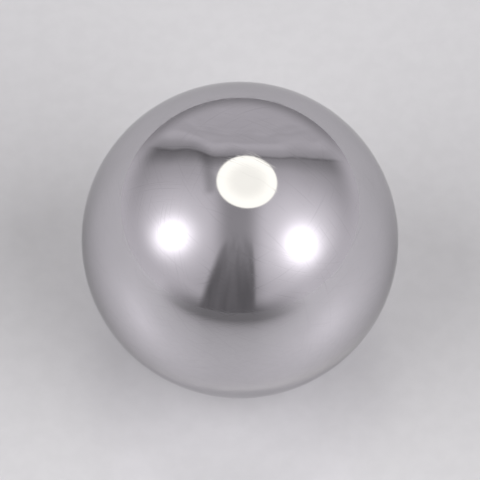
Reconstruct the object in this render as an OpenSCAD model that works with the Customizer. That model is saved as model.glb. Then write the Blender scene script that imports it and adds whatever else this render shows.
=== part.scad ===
// Precision steel ball: one solid sphere, ground and lapped all over.
// The origin is the centre of the ball, with +Z up.

/* [Ball] */
// Diameter of the ball, 19.05 mm being the 3/4 inch size
ball_d = 19.05; // [1:0.01:100]

/* [Hidden] */

// Facets round the ball in a preview; the solid itself is a true sphere
$fn = 180;

// Polished chrome steel
steel_color = [0.6, 0.585, 0.61];

// Solid steel all through, with no seam, flat or bore: a ball rolls on any
// diameter, so every diameter is the same.
module ball() {
    color(steel_color)
        sphere(d = ball_d);
}

ball();
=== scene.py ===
"""A polished steel ball on a pale satin floor, in a soft light tent.

The tent is the world: two softboxes shining through its cloth, a slot in front for the camera and a
round lamp overhead. The steel is a mirror, so what it shows is the tent, the lamp and the floor.
Azimuth 0 is the camera's side, -Y, and grows towards +X. Elevation is above the horizon.
A direction's three parts are how far it points across (+X), back (+Y) and up (+Z).
"""
import math

import bmesh
import bpy
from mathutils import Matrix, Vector


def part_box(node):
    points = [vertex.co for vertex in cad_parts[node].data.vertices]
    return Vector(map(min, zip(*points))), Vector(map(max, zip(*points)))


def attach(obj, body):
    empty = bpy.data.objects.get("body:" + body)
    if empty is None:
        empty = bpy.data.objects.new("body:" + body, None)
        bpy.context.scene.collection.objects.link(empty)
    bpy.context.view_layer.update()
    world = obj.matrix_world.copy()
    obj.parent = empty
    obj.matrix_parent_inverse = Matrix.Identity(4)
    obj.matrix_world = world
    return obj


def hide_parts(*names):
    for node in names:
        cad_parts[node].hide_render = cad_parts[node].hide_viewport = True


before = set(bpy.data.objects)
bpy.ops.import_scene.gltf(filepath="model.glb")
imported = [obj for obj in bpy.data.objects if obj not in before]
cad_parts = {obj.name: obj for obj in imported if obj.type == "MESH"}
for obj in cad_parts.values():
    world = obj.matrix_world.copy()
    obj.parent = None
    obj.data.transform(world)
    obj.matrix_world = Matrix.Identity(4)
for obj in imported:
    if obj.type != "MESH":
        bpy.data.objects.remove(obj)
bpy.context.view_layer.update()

BALL_LOW, BALL_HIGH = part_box("ball")
BALL_D = BALL_HIGH.z - BALL_LOW.z
BALL_R = BALL_D / 2
BALL_CENTRE = (BALL_LOW + BALL_HIGH) / 2

# Mesh of the ball: quads along each edge of the cube that is blown up into the sphere
QUADS_PER_SIDE = 64

# Steel: how much of the light it sends back, straight on and (as a share) near the rim
STEEL_COLOUR = (0.60, 0.585, 0.61)
STEEL_RIM = 0.75
STEEL_ROUGHNESS = (0.04, 0.07)
# Faint haze: the size of its clouds, and the shade that it gives the colour
HAZE_SIZE = 0.005
HAZE_SHADE = (0.98, 1.02)
# Hairline marks in metres, in four layers, each turned its own way: how strong the noise is where
# a line starts and is full, how far from its layer's middle it fades (in radii), and what it adds to
# the shade and to the roughness
MARK_LENGTH = 0.003
MARK_WIDTH = 0.00007
MARK_DEPTH = 0.00000035
MARK_TURNS = ((0.3, 0.0, 0.4), (1.4, 0.6, -0.5), (-0.8, 1.1, 1.4), (0.7, -1.2, 0.9))
MARK_NOISE = (0.62, 0.72)
MARK_FADE = (0.6, 0.8)
MARK_SHADE = -0.05
MARK_DULLNESS = 0.06

# Camera
CAMERA_ELEVATION = 54.0
LENS_MM = 350.0
SENSOR_MM = 36.0
BALL_SHARE_OF_FRAME = 0.66
CLIP_START = BALL_R / 10

# Floor, half its width in metres: its sheen is the share of its light that it mirrors as metal does
FLOOR_HALF_WIDTH = 8.0
FLOOR_COLOUR = (0.80, 0.79, 0.81)
FLOOR_SHEEN = 0.17
FLOOR_ROUGHNESS = 0.27
FLOOR_GRAIN = 900.0
FLOOR_GRAIN_SHADE = (0.985, 1.015)

# Painted shade in front of the ball: the floor's colour darkens in a soft wedge that stands in for
# the photographer's shadow. Where it starts and is full, the share of the colour left there, its
# sides, as metres across for each metre in front, and how far in front its point is at full strength
SHADE_STARTS = BALL_R * 1.5
SHADE_FULL = BALL_R * 14
SHADE_LEFT = 0.36
WEDGE_LEFT = (-1.5, -0.45)
WEDGE_RIGHT = (0.15, 1.05)
WEDGE_POINT = 0.01
# The least that a distance in front counts as, because it is divided by
LEAST_AHEAD = 0.001

# Light tent, as radiances: 1 is white. Places are parts of a direction, or angles in degrees.
TENT_TINT = (1.0, 0.97, 1.015)
CLOTH_RADIANCE = 0.29
# The floor far away, and the foot of the cloth that meets it: in front, at the back, in the shade
FAR_FLOOR_FRONT = 0.775
FAR_FLOOR_BACK = 0.655
FAR_FLOOR_FADE = (-1.1, 0.75)
FAR_FLOOR_SHADED = 0.235
SWEEP_TOP = 0.34
# The dark sill at the back: how far back it starts and is full, and how high it reaches
BACK_SILL_STARTS = (0.6, 0.9)
BACK_SILL_TOP = 0.3
BACK_SILL_RADIANCE = 0.33
# Half the width of an edge that looks hard
HARD_EDGE = 0.001
# Share of the tent's light that falls on the floor, the rest being the lamps'
TENT_ON_FLOOR = 0.2
# A sun lamp lights the same from any distance, so this only keeps it clear of the ball
SUN_DISTANCE = 1.0

# Softboxes: azimuth and elevation of the hot core, and how wide and how high it glows
SOFTBOX_CORES = (
    (-66.2, 33.0, 0.163, 0.130),
    (57.4, 32.6, 0.150, 0.139),
)
CORE_RADIANCE = 1.9
CORE_SIDE_FADE = 0.3
# The wide pool of light round each: azimuth, elevation and radiance, and how fast it fades
SOFTBOX_POOLS = (
    (-67.6, 35.5, 0.70),
    (60.0, 33.2, 0.88),
)
POOL_TIGHTNESS = 4.3
# The light of each on the floor: half the angle that it comes from, and its strength
SOFTBOX_HALF_ANGLE = 30.0
SOFTBOX_ON_FLOOR = 2.35

# Far wall: a panel of cloth, round at the top and lower on the left, and the seam round it. How far
# something is from the seam is a difference of cosines.
PANEL_AZIMUTH = 179.3
PANEL_ELEVATION = 15.0
PANEL_HALF_ANGLE = 48.5
PANEL_RADIANCE = (0.53, 0.63)
PANEL_EDGE = 0.01
PANEL_STEP = 0.07
PANEL_STEP_ACROSS = (-0.45, -0.25)
PANEL_FOLDS_ALONG = 6.0
PANEL_FOLDS = 1.6
SEAM_WAVE = 0.012
SEAM_WAVES = 2.6
SEAM_WIDTH = 0.02
SEAM_LINE = 0.68
# Soft shade on either side of the seam: how far it reaches, and the light left there
SEAM_SHADE_OUTSIDE = 0.18
SEAM_SHADE_INSIDE = 0.11
SEAM_SHADE_ACROSS = 0.3
SEAM_SHADE_LEFT = 0.55
SEAM_SHADE_RIGHT = 0.72

# Fold in the roof beside the lamp
FOLD_ACROSS = -0.35
FOLD_HALF_WIDTH = 0.1
FOLD_FRONT = 0.05
FOLD_SHADE = 0.7

# Slot for the camera, on the plane one unit in front of the ball: its sides at the horizon and how
# far they lean with height, how soft they are, and where its top fades out
SLOT_LEFT = (-0.487, 0.112)
SLOT_RIGHT = (0.166, 0.07)
SLOT_LEFT_BLUR = 0.06
SLOT_RIGHT_BLUR = 0.03
SLOT_TOP = (1.05, 1.75)
# The dark cloth behind the slot, lighter with height, and its hanging folds
SLOT_RADIANCE = (0.17, 0.36)
SLOT_HEIGHTS = (0.2, 1.5)
SLOT_FOLDS = 9.0
SLOT_FOLD_SHADE = (0.88, 1.12)
# Shaded strip over the slot: its middle, how far from there its light goes from least to full, and
# how far past the ball it ends
STRIP_ACROSS = -0.025
STRIP_HALF_WIDTH = (0.02, 0.43)
STRIP_END = 0.3
STRIP_SHADE = 0.55
# Shaded foot of the cloth in front
FOOT_RADIANCE = 0.27
FOOT_TOP = 0.25

# Round lamp overhead. Cosines off its axis say how soft its edge is, how wide its rim, where its
# middle starts, and where the halo on the roof round it fades and is full.
LAMP_TINT = (1.0, 1.0, 0.91)
LAMP_AZIMUTH = 147.0
LAMP_ELEVATION = 81.5
LAMP_HALF_ANGLE = 20.2
LAMP_EDGE = 0.003
LAMP_RIM = 0.02
LAMP_MIDDLE = 0.995
LAMP_RIM_RADIANCE = 1.75
LAMP_MIDDLE_RADIANCE = 1.48
LAMP_HALO = 0.06
LAMP_HALO_FADE = (0.72, 0.94)
LAMP_ON_FLOOR = 0.12

# Nearly all of a noise texture's values lie between these
NOISE_SPREAD = (0.3, 0.7)

# Sockets of a Mix node, for each kind of value: its two inputs and its output
MIX_SOCKETS = {"FLOAT": (2, 3, 0), "RGBA": (6, 7, 2)}


class Graph:
    """Adds nodes to one node tree, wiring each to what it works on."""

    def __init__(self, tree):
        self.tree = tree
        tree.nodes.clear()

    def node(self, kind, **settings):
        made = self.tree.nodes.new(kind)
        for name, value in settings.items():
            setattr(made, name, value)
        return made

    def feed(self, socket, source):
        if isinstance(source, bpy.types.NodeSocket):
            self.tree.links.new(source, socket)
        else:
            socket.default_value = source

    def math(self, operation, *sources):
        made = self.node("ShaderNodeMath", operation=operation)
        for socket, source in zip(made.inputs, sources):
            self.feed(socket, source)
        return made.outputs[0]

    def times(self, first, second):
        return self.math("MULTIPLY", first, second)

    def distance(self, value, middle):
        return self.math("ABSOLUTE", self.math("SUBTRACT", value, middle))

    def dot(self, vector, direction):
        made = self.node("ShaderNodeVectorMath", operation="DOT_PRODUCT")
        self.feed(made.inputs[0], vector)
        self.feed(made.inputs[1], direction)
        return made.outputs["Value"]

    def rise(self, value, start, end, low=0.0, high=1.0):
        """Goes smoothly from low to high as value goes from start to end."""
        made = self.node("ShaderNodeMapRange", interpolation_type="SMOOTHSTEP")
        for socket, source in zip(made.inputs, (value, start, end, low, high)):
            self.feed(socket, source)
        return made.outputs["Result"]

    def fall(self, value, start, end):
        """Goes smoothly from 1 to 0 as value goes from start to end."""
        return self.rise(value, start, end, 1.0, 0.0)

    def spread(self, noise, low, high):
        """Stretches a noise texture's values to run from low to high."""
        return self.rise(noise, *NOISE_SPREAD, low, high)

    def blend(self, share, first, second, kind="FLOAT"):
        """Goes from first, at a share of 0, to second, at 1."""
        made = self.node("ShaderNodeMix", data_type=kind)
        first_socket, second_socket, result = MIX_SOCKETS[kind]
        self.feed(made.inputs[0], share)
        self.feed(made.inputs[first_socket], first)
        self.feed(made.inputs[second_socket], second)
        return made.outputs[result]

    def tinted(self, value, tint):
        made = self.node("ShaderNodeVectorMath", operation="SCALE")
        made.inputs[0].default_value = tint
        self.feed(made.inputs["Scale"], value)
        return made.outputs["Vector"]

    def parts(self, vector):
        split = self.node("ShaderNodeSeparateXYZ")
        self.feed(split.inputs[0], vector)
        return tuple(split.outputs)

    def vector(self, *sources):
        made = self.node("ShaderNodeCombineXYZ")
        for socket, source in zip(made.inputs, sources):
            self.feed(socket, source)
        return made.outputs["Vector"]

    def noise(self, vector, scale, detail=2.0):
        made = self.node("ShaderNodeTexNoise")
        self.feed(made.inputs["Vector"], vector)
        made.inputs["Scale"].default_value = scale
        made.inputs["Detail"].default_value = detail
        return made.outputs["Fac"]


def towards(azimuth, elevation):
    """Unit vector from the ball to that direction."""
    turn = math.radians(azimuth)
    lift = math.radians(elevation)
    level = math.cos(lift)
    return Vector((math.sin(turn) * level, -math.cos(turn) * level, math.sin(lift)))


def cosine(degrees):
    return math.cos(math.radians(degrees))


def add_object(name, data):
    made = bpy.data.objects.new(name, data)
    bpy.context.scene.collection.objects.link(made)
    return made


def set_facing_ball(placed, direction, distance):
    """Puts a lamp or the camera out in that direction, so that it faces the ball."""
    placed.location = BALL_CENTRE + direction * distance
    placed.rotation_mode = "QUATERNION"
    placed.rotation_quaternion = direction.to_track_quat("Z", "Y")


def new_material(name):
    material = bpy.data.materials.new(name)
    material.use_nodes = True
    return material, Graph(material.node_tree)


def finish_material(graph, shader):
    output = graph.node("ShaderNodeOutputMaterial")
    graph.feed(output.inputs["Surface"], shader.outputs["BSDF"])


# ---- the ball ----

def sphere_mesh(name):
    """A true sphere from a gridded cube, so that no pole or seam pinches the reflections."""
    mesh = bpy.data.meshes.new(name)
    bm = bmesh.new()
    bmesh.ops.create_cube(bm, size=2.0)
    bmesh.ops.subdivide_edges(bm, edges=bm.edges[:], cuts=QUADS_PER_SIDE - 1, use_grid_fill=True)
    for vertex in bm.verts:
        even = Vector(math.tan(c * math.pi / 4) for c in vertex.co)
        vertex.co = BALL_CENTRE + even.normalized() * BALL_R
    for face in bm.faces:
        face.smooth = True
    bm.to_mesh(mesh)
    bm.free()
    return mesh


def lapping_marks(graph, place, turn):
    """Sparse hairlines along circles round one axis, as a lapping plate leaves them: 1 on a line."""
    turned = graph.node("ShaderNodeMapping")
    graph.feed(turned.inputs["Vector"], place)
    turned.inputs["Rotation"].default_value = turn
    x, y, z = graph.parts(turned.outputs["Vector"])
    along = graph.math("DIVIDE", x, MARK_LENGTH)
    beside = graph.math("DIVIDE", y, MARK_WIDTH)
    deep = graph.math("DIVIDE", z, MARK_LENGTH)
    lines = graph.rise(graph.noise(graph.vector(along, beside, deep), 1.0, detail=1.0), *MARK_NOISE)
    faded = graph.fall(graph.math("ABSOLUTE", y), *(BALL_R * share for share in MARK_FADE))
    return graph.times(lines, faded)


def polished_steel():
    """Chrome steel, ground and lapped: a mirror with a faint haze and hairline lapping marks."""
    material, graph = new_material("polished_steel")
    place = graph.node("ShaderNodeTexCoord").outputs["Object"]
    haze = graph.noise(place, 1 / HAZE_SIZE, detail=3.0)
    marks = 0.0
    for turn in MARK_TURNS:
        marks = graph.math("MAXIMUM", lapping_marks(graph, place, turn), marks)
    shader = graph.node("ShaderNodeBsdfPrincipled")
    shader.inputs["Metallic"].default_value = 1.0
    shader.inputs["Specular Tint"].default_value = (STEEL_RIM, STEEL_RIM, STEEL_RIM, 1.0)
    shade = graph.math("MULTIPLY_ADD", marks, MARK_SHADE, graph.spread(haze, *HAZE_SHADE))
    graph.feed(shader.inputs["Base Color"], graph.tinted(shade, STEEL_COLOUR))
    dullness = graph.math("MULTIPLY_ADD", marks, MARK_DULLNESS, graph.spread(haze, *STEEL_ROUGHNESS))
    graph.feed(shader.inputs["Roughness"], dullness)
    bump = graph.node("ShaderNodeBump", invert=True)
    bump.inputs["Distance"].default_value = MARK_DEPTH
    graph.feed(bump.inputs["Height"], marks)
    graph.feed(shader.inputs["Normal"], bump.outputs["Normal"])
    finish_material(graph, shader)
    return material


def make_ball():
    ball = add_object("ball_surface", sphere_mesh("ball_surface"))
    ball.data.materials.append(polished_steel())
    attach(ball, "root")
    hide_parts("ball")


# ---- the floor ----

def ahead(graph, back):
    """How far in front something is, never quite 0, so that it can be divided by."""
    return graph.math("MAXIMUM", graph.times(back, -1.0), LEAST_AHEAD)


def front_wedge(graph, across, back):
    """1 straight in front of the ball, falling to 0 on either side of a wedge and behind."""
    sideways = graph.math("DIVIDE", across, ahead(graph, back))
    past_left = graph.rise(sideways, *WEDGE_LEFT)
    past_right = graph.fall(sideways, *WEDGE_RIGHT)
    in_front = graph.fall(back, -WEDGE_POINT, 0.0)
    return graph.times(graph.times(past_left, past_right), in_front)


def painted_front_shade(graph, place):
    """Share of the floor's colour left where the photographer's shadow is painted on it."""
    across, back, _ = graph.parts(place)
    far = graph.fall(back, -SHADE_FULL, -SHADE_STARTS)
    return graph.blend(graph.times(front_wedge(graph, across, back), far), 1.0, SHADE_LEFT)


def floor_material():
    material, graph = new_material("pale_floor")
    place = graph.node("ShaderNodeTexCoord").outputs["Object"]
    grain = graph.spread(graph.noise(place, FLOOR_GRAIN, detail=4.0), *FLOOR_GRAIN_SHADE)
    shader = graph.node("ShaderNodeBsdfPrincipled")
    # The floor's colour: random grain, times the painted shade in front of the ball
    shade = graph.times(grain, painted_front_shade(graph, place))
    graph.feed(shader.inputs["Base Color"], graph.tinted(shade, FLOOR_COLOUR))
    shader.inputs["Metallic"].default_value = FLOOR_SHEEN
    shader.inputs["Roughness"].default_value = FLOOR_ROUGHNESS
    shader.inputs["Specular IOR Level"].default_value = 0.0
    finish_material(graph, shader)
    return material


def make_floor():
    mesh = bpy.data.meshes.new("floor")
    bm = bmesh.new()
    bmesh.ops.create_grid(bm, x_segments=1, y_segments=1, size=FLOOR_HALF_WIDTH)
    bm.to_mesh(mesh)
    bm.free()
    floor = add_object("floor", mesh)
    floor.location.z = BALL_LOW.z
    floor.data.materials.append(floor_material())


# ---- the tent, each part laid over the light so far ----

def hot_core(graph, direction, core):
    """The middle of a softbox, seen through the cloth."""
    azimuth, elevation, width, height = core
    axis = towards(azimuth, elevation)
    picture_up = towards(180.0, 90.0 - CAMERA_ELEVATION)
    side = axis.cross(picture_up).normalized()
    wide = graph.math("DIVIDE", graph.dot(direction, side), width)
    tall = graph.math("DIVIDE", graph.dot(direction, side.cross(axis)), height)
    off_axis = graph.math("ADD", graph.math("POWER", wide, 2.0), graph.math("POWER", tall, 2.0))
    glow = graph.math("EXPONENT", graph.times(off_axis, -0.5))
    on_this_side = graph.rise(graph.dot(direction, axis), 0.0, CORE_SIDE_FADE, 0.0, CORE_RADIANCE)
    return graph.times(glow, on_this_side)


def soft_pool(graph, direction, pool):
    """The cloth lit round a softbox."""
    azimuth, elevation, radiance = pool
    away = graph.math("SUBTRACT", graph.dot(direction, towards(azimuth, elevation)), 1.0)
    return graph.times(graph.math("EXPONENT", graph.times(away, POOL_TIGHTNESS)), radiance)


def lamp_halo(graph, direction):
    """The roof lit round the lamp."""
    facing = graph.dot(direction, towards(LAMP_AZIMUTH, LAMP_ELEVATION))
    return graph.rise(facing, *LAMP_HALO_FADE, 0.0, LAMP_HALO)


def with_roof_fold(graph, parts, light):
    """A fold in the roof, which runs back past the lamp."""
    across, back, _ = parts
    fold = graph.rise(graph.distance(across, FOLD_ACROSS), 0.0, FOLD_HALF_WIDTH, FOLD_SHADE, 1.0)
    behind = graph.rise(back, -FOLD_FRONT, FOLD_FRONT)
    return graph.times(light, graph.blend(behind, 1.0, fold))


def into_panel(graph, direction, parts, wave):
    """How far inside the far wall's panel a direction is: 0 on the seam."""
    facing = graph.dot(direction, towards(PANEL_AZIMUTH, PANEL_ELEVATION))
    facing = graph.math("ADD", facing, graph.spread(wave, -SEAM_WAVE, SEAM_WAVE))
    facing = graph.math("ADD", facing, graph.rise(parts[0], *PANEL_STEP_ACROSS, -PANEL_STEP, 0.0))
    return graph.math("SUBTRACT", facing, cosine(PANEL_HALF_ANGLE))


def with_back_panel(graph, direction, parts, light):
    """The far wall: a panel of cloth with folds, and a dark seam round it."""
    wave = graph.noise(direction, SEAM_WAVES, detail=1.0)
    inwards = into_panel(graph, direction, parts, wave)
    folds = graph.noise(graph.vector(graph.times(inwards, PANEL_FOLDS_ALONG), wave), PANEL_FOLDS)
    panel = graph.spread(folds, *PANEL_RADIANCE)
    light = graph.blend(graph.rise(inwards, -PANEL_EDGE, PANEL_EDGE), light, panel)
    line = graph.rise(graph.math("ABSOLUTE", inwards), 0.0, SEAM_WIDTH, SEAM_LINE, 1.0)
    sides = (-SEAM_SHADE_ACROSS, SEAM_SHADE_ACROSS)
    shade = graph.rise(parts[0], *sides, SEAM_SHADE_LEFT, SEAM_SHADE_RIGHT)
    outside = graph.rise(inwards, -SEAM_SHADE_OUTSIDE, 0.0, 1.0, shade)
    inside = graph.rise(inwards, 0.0, SEAM_SHADE_INSIDE, shade, 1.0)
    both = graph.blend(graph.rise(inwards, -HARD_EDGE, HARD_EDGE), outside, inside)
    return graph.times(graph.times(light, line), both)


def far_floor(graph, back):
    """The lit floor at the horizon, which is satin and so looks lighter towards the softboxes."""
    return graph.rise(back, *FAR_FLOOR_FADE, FAR_FLOOR_FRONT, FAR_FLOOR_BACK)


def with_sweep(graph, parts, light):
    """Cloth that sweeps down into the floor, but for the dark sill of the back."""
    _, back, up = parts
    light = graph.blend(graph.rise(up, 0.0, SWEEP_TOP), far_floor(graph, back), light)
    behind = graph.times(graph.rise(back, *BACK_SILL_STARTS), graph.fall(up, 0.0, BACK_SILL_TOP))
    return graph.blend(behind, light, BACK_SILL_RADIANCE)


def with_front_foot(graph, parts, light):
    """The shaded foot of the cloth in front."""
    across, back, up = parts
    shaded = graph.times(front_wedge(graph, across, back), graph.fall(up, 0.0, FOOT_TOP))
    return graph.blend(shaded, light, FOOT_RADIANCE)


def with_front_strip(graph, parts, light):
    """A shaded strip of cloth, which runs from the slot up to the lamp."""
    across, back, _ = parts
    beside = graph.rise(graph.distance(across, STRIP_ACROSS), *STRIP_HALF_WIDTH)
    lit = graph.math("MAXIMUM", beside, graph.rise(back, 0.0, STRIP_END))
    return graph.times(light, graph.rise(lit, 0.0, 1.0, STRIP_SHADE, 1.0))


def slot_share(graph, sideways, height):
    """1 inside the opening that the camera looks through."""
    left_side = graph.math("MULTIPLY_ADD", height, SLOT_LEFT[1], SLOT_LEFT[0])
    right_side = graph.math("MULTIPLY_ADD", height, SLOT_RIGHT[1], SLOT_RIGHT[0])
    from_left = graph.math("SUBTRACT", sideways, left_side)
    from_right = graph.math("SUBTRACT", sideways, right_side)
    past_left = graph.rise(from_left, -SLOT_LEFT_BLUR, SLOT_LEFT_BLUR)
    past_right = graph.fall(from_right, -SLOT_RIGHT_BLUR, SLOT_RIGHT_BLUR)
    return graph.times(graph.times(past_left, past_right), graph.fall(height, *SLOT_TOP))


def with_camera_slot(graph, parts, light):
    """The opening in front, with folds hanging down the dark cloth behind it."""
    across, back, up = parts
    in_front = ahead(graph, back)
    sideways = graph.math("DIVIDE", across, in_front)
    height = graph.math("DIVIDE", up, in_front)
    folds = graph.noise(graph.vector(graph.times(sideways, SLOT_FOLDS), height), 1.0, detail=1.0)
    dark = graph.rise(height, *SLOT_HEIGHTS, *SLOT_RADIANCE)
    dark = graph.times(dark, graph.spread(folds, *SLOT_FOLD_SHADE))
    return graph.blend(slot_share(graph, sideways, height), light, dark)


def with_far_floor(graph, parts, light):
    """Below the horizon the world carries on the floor, past where the plane ends."""
    across, back, up = parts
    floor = graph.blend(front_wedge(graph, across, back), far_floor(graph, back), FAR_FLOOR_SHADED)
    return graph.blend(graph.rise(up, -HARD_EDGE, HARD_EDGE), floor, light)


def lamp_face(graph, direction):
    """Share of the view that the lamp fills, and its radiance: white, a little less in the middle."""
    rim_at = cosine(LAMP_HALF_ANGLE)
    facing = graph.dot(direction, towards(LAMP_AZIMUTH, LAMP_ELEVATION))
    share = graph.rise(facing, rim_at - LAMP_EDGE, rim_at + LAMP_EDGE)
    inwards = (rim_at + LAMP_RIM, LAMP_MIDDLE)
    return share, graph.rise(facing, *inwards, LAMP_RIM_RADIANCE, LAMP_MIDDLE_RADIANCE)


def tent_light(graph, direction):
    """Radiance of the tent without its lamp."""
    light = lamp_halo(graph, direction)
    light = graph.math("ADD", light, CLOTH_RADIANCE)
    for core in SOFTBOX_CORES:
        light = graph.math("ADD", hot_core(graph, direction, core), light)
    for pool in SOFTBOX_POOLS:
        light = graph.math("ADD", soft_pool(graph, direction, pool), light)
    parts = graph.parts(direction)
    light = with_roof_fold(graph, parts, light)
    light = with_back_panel(graph, direction, parts, light)
    light = with_sweep(graph, parts, light)
    light = with_front_foot(graph, parts, light)
    light = with_front_strip(graph, parts, light)
    light = with_camera_slot(graph, parts, light)
    return with_far_floor(graph, parts, light)


def make_tent():
    world = bpy.data.worlds.new("light_tent")
    bpy.context.scene.world = world
    world.use_nodes = True
    graph = Graph(world.node_tree)
    direction = graph.node("ShaderNodeTexCoord").outputs["Generated"]
    in_lamp, lamp_light = lamp_face(graph, direction)
    tent = graph.tinted(tent_light(graph, direction), TENT_TINT)
    lamp = graph.tinted(lamp_light, LAMP_TINT)

    path = graph.node("ShaderNodeLightPath")
    in_view = graph.math("MAXIMUM", path.outputs["Is Camera Ray"], path.outputs["Is Glossy Ray"])
    in_view = graph.math("MAXIMUM", in_view, path.outputs["Is Transmission Ray"])
    background = graph.node("ShaderNodeBackground")
    graph.feed(background.inputs["Color"], graph.blend(in_lamp, tent, lamp, "RGBA"))
    graph.feed(background.inputs["Strength"], graph.blend(in_view, TENT_ON_FLOOR, 1.0))
    output = graph.node("ShaderNodeOutputWorld")
    graph.feed(output.inputs["Surface"], background.outputs["Background"])


# ---- lamps and camera ----

def floor_light(name, direction, half_angle, energy):
    """Light that a lamp throws on the floor. The world holds its face, which the steel reflects."""
    light = bpy.data.lights.new(name, "SUN")
    light.angle = math.radians(2 * half_angle)
    light.energy = energy
    lamp = add_object(name, light)
    set_facing_ball(lamp, direction, SUN_DISTANCE)
    lamp.visible_glossy = False


def make_lamps():
    overhead = towards(LAMP_AZIMUTH, LAMP_ELEVATION)
    floor_light("overhead_lamp", overhead, LAMP_HALF_ANGLE, LAMP_ON_FLOOR)
    for number, (azimuth, elevation, radiance) in enumerate(SOFTBOX_POOLS, start=1):
        energy = radiance * SOFTBOX_ON_FLOOR
        floor_light(f"softbox_{number}", towards(azimuth, elevation), SOFTBOX_HALF_ANGLE, energy)


def make_camera():
    half_frame = BALL_R / BALL_SHARE_OF_FRAME
    distance = half_frame * LENS_MM / (SENSOR_MM / 2)
    lens = bpy.data.cameras.new("camera")
    lens.lens = LENS_MM
    lens.sensor_width = SENSOR_MM
    lens.clip_start = CLIP_START
    camera = add_object("camera", lens)
    set_facing_ball(camera, towards(0.0, CAMERA_ELEVATION), distance)
    bpy.context.scene.camera = camera


make_ball()
make_floor()
make_tent()
make_lamps()
make_camera()
bpy.context.scene.view_settings.view_transform = "Standard"

bpy.context.view_layer.update()
